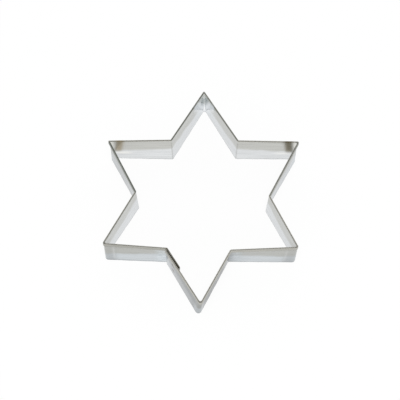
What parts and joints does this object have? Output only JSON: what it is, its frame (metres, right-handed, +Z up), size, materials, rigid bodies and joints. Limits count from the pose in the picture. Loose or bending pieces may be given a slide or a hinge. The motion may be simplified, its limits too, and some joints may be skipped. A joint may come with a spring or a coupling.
{
  "type": "cookie cutter",
  "caption": "Star-shaped cookie cutter bent from a strip of hemmed tinplate, its ends lapped and spot-welded, open right through.",
  "frame": {"origin": "centre of the outline on the surface that the cutting edge rests on", "axes": "+Z up from the cutting edge to the folded rim, +Y through the top point of the star, +X to the right as seen from above"},
  "size_m": [0.0873, 0.101, 0.022],
  "materials": {
    "tinplate": "bright rolled tin, softly mirror-like, with faint lengthwise roll marks",
    "weld_metal": "dull grey, pressed and slightly heat-tinted"
  },
  "bodies": {
    "root": {"star_strip": "tinplate", "upper_spot_weld": "weld_metal", "lower_spot_weld": "weld_metal"}
  },
  "joints": []
}
